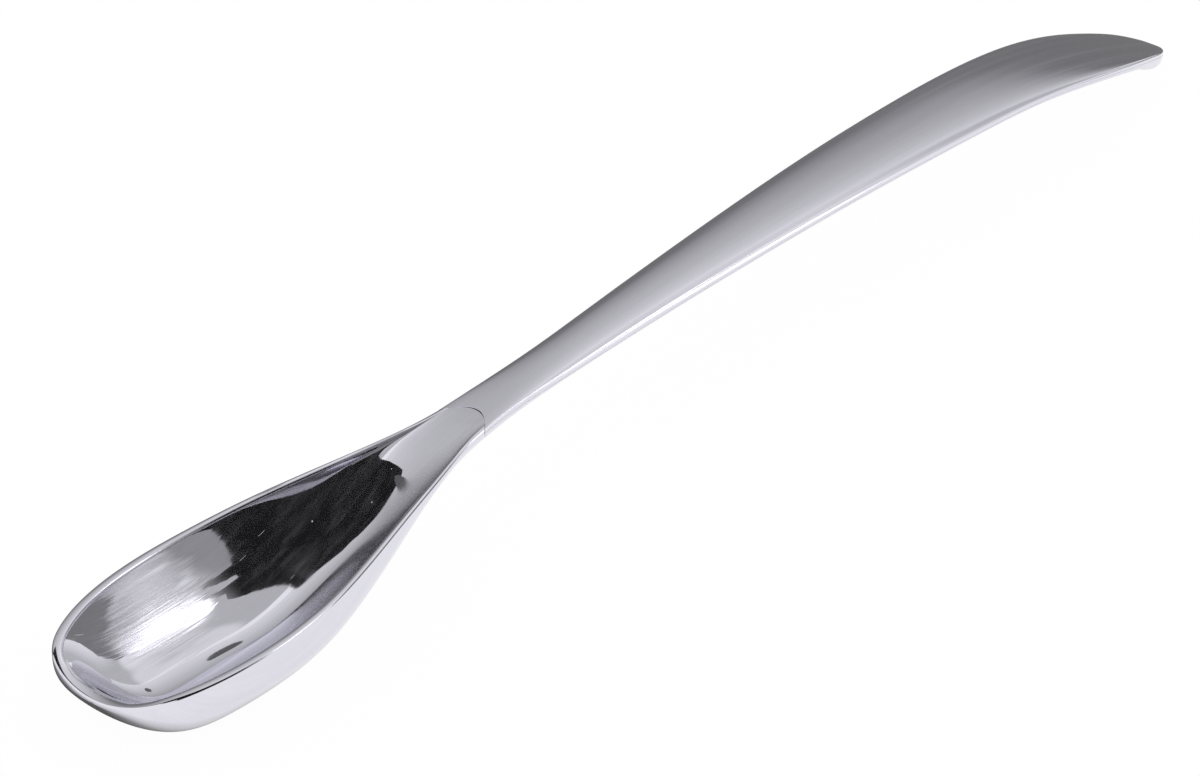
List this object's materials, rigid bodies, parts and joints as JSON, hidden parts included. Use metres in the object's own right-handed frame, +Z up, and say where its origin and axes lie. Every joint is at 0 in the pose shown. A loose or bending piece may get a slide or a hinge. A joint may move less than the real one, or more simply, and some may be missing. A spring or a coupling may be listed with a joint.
{
  "type": "spoon",
  "caption": "Polished steel spoon with a deep teardrop bowl, a flat rim, a slim neck and a long arched handle that widens to a drooping rounded tip.",
  "frame": {"origin": "on the table, under the middle of the spoon's bounding box", "axes": "+X along the spoon from the bowl to the handle's tip, +Y across it to the left, +Z up out of the bowl"},
  "size_m": [0.1986, 0.0234, 0.0144],
  "materials": {
    "bowl_steel": "mirror polished, with fine curved wheel marks inside the bowl",
    "handle_top_steel": "satin, polished along its length",
    "handle_under_steel": "satin, polished along its length",
    "filler": "cast and unseen"
  },
  "bodies": {
    "root": {"bowl": "bowl_steel", "handle_upper_shell": "handle_top_steel", "handle_lower_shell": "handle_under_steel", "handle_core": "filler"}
  },
  "joints": []
}
